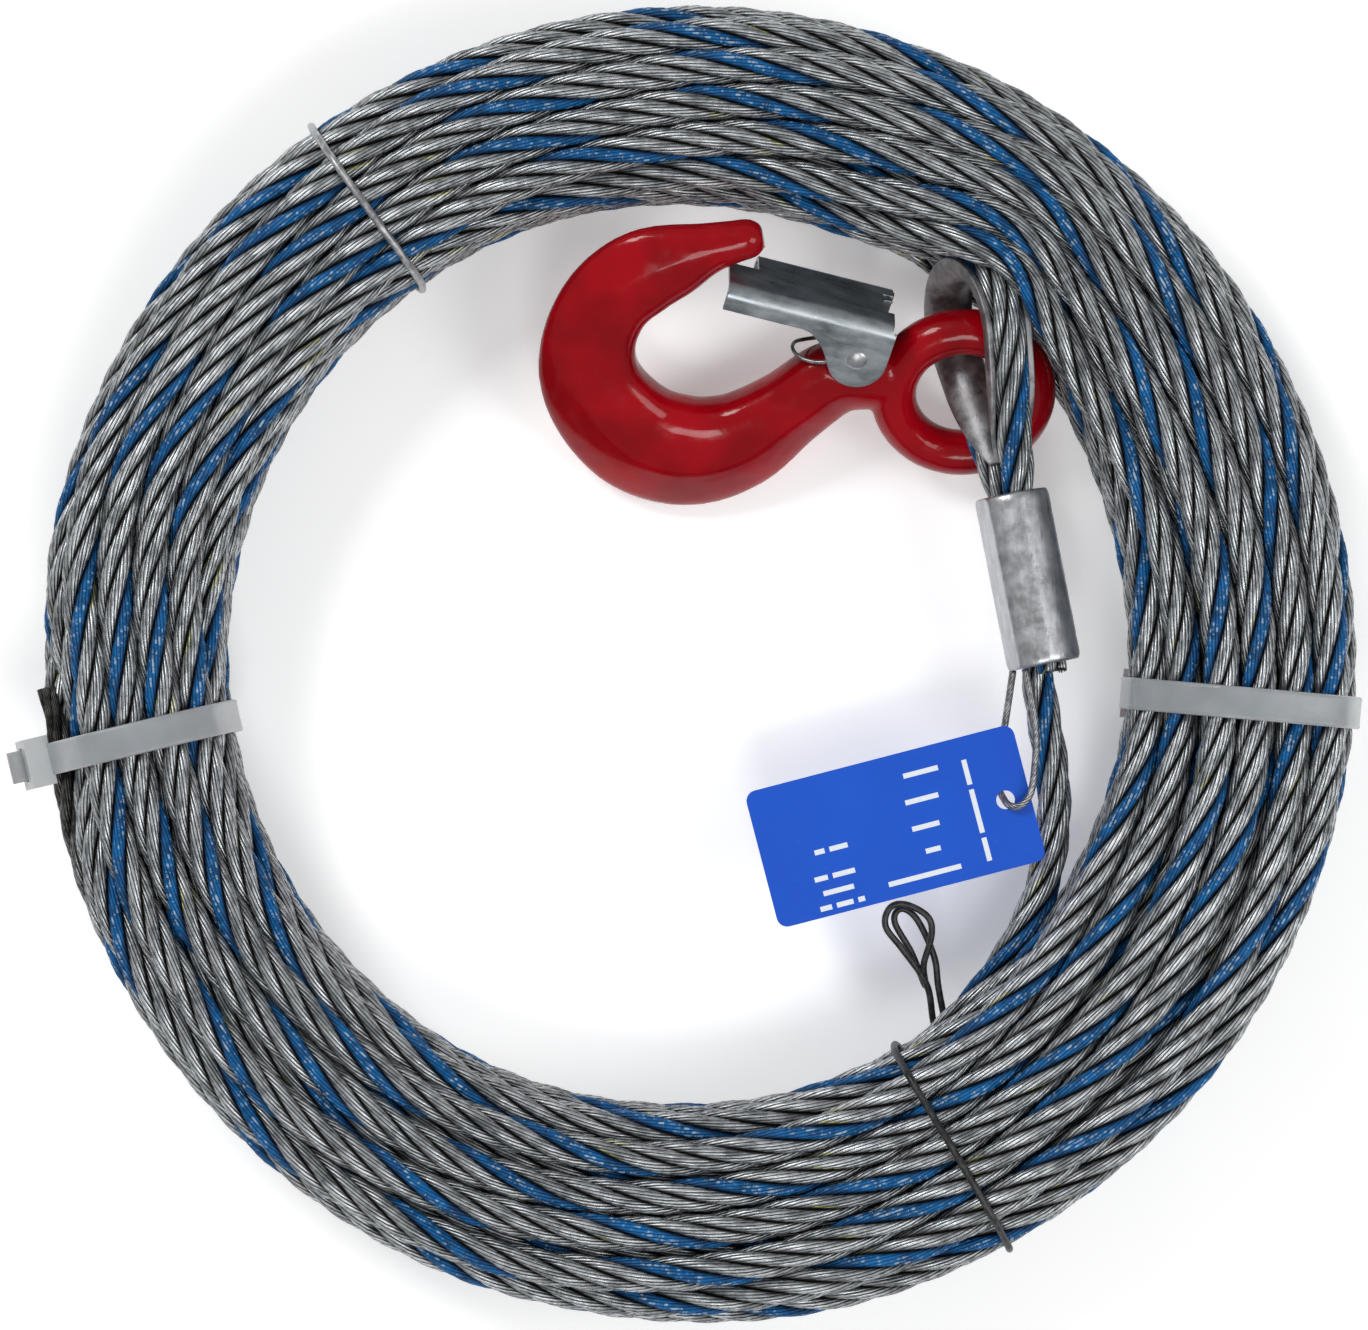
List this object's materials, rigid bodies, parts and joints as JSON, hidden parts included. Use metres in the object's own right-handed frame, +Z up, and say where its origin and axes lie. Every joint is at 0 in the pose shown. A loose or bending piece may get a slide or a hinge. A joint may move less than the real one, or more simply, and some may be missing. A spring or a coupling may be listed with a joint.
{
  "type": "wire rope for a hand puller",
  "caption": "Coiled steel wire rope for a hand-operated puller, with a thimble eye, pressed ferrule, latched sling hook and identity tag.",
  "frame": {"origin": "middle of the base of the coil as it lies on a floor, at the centre of the whole part's outline", "axes": "+Z up, square to the coil's flat side; +X to the right with the eye's crown at +Y; -X is the way the hook points"},
  "size_m": [0.3164, 0.3092, 0.05],
  "materials": {
    "rope_steel": "greased galvanised strands, one painted blue",
    "fused_end": "dark, fused and ground",
    "galvanised_steel": "mottled galvanising",
    "ferrule_aluminium": "satin, with press marks",
    "red_enamel": "gloss enamel on a forging",
    "zinc_plate": "bright zinc",
    "spring_steel": "plain drawn wire",
    "blue_tag": "satin blue with white bars",
    "thin_wire_rope": "fine strands",
    "natural_nylon": "translucent, slightly glossy",
    "binding_wire": "dull galvanised",
    "black_coating": "soft gloss"
  },
  "bodies": {
    "coil": {"rope_coil": "rope_steel", "rope_tail": "rope_steel", "rope_eye": "rope_steel", "rope_dead_end": "rope_steel", "rope_free_end": "fused_end", "thimble": "galvanised_steel", "ferrule": "ferrule_aluminium", "tag_wire": "thin_wire_rope", "strap_left": "natural_nylon", "strap_left_head": "natural_nylon", "strap_right": "natural_nylon", "strap_right_head": "natural_nylon", "binding_wire": "binding_wire", "black_wire": "black_coating", "black_wire_loops": "black_coating"},
    "hook": {"hook_body": "red_enamel", "latch_rivet": "zinc_plate", "latch_spring": "spring_steel"},
    "latch": {"latch_plate": "zinc_plate"},
    "tag": {"tag_plate": "blue_tag"}
  },
  "joints": [
    {"name": "hook_swing", "type": "hinge", "parent": "coil", "child": "hook", "pos_m": [0.066, 0.0645, 0.0199], "axis": [0, 0, 1], "range_deg": [0, 32]},
    {"name": "latch_open", "type": "hinge", "parent": "hook", "child": "latch", "pos_m": [0.0404, 0.07674, 0.02785], "axis": [0, -0.5446, 0.8387], "range_deg": [0, 46], "stiffness_Nm_per_rad": 0.03, "springref_deg": -20.05, "deforming": ["latch_spring"]},
    {"name": "tag_swing", "type": "hinge", "parent": "coil", "child": "tag", "pos_m": [0.0756, -0.0317, 0.028], "axis": [0, 0, 1], "range_deg": [-30, 30]}
  ]
}
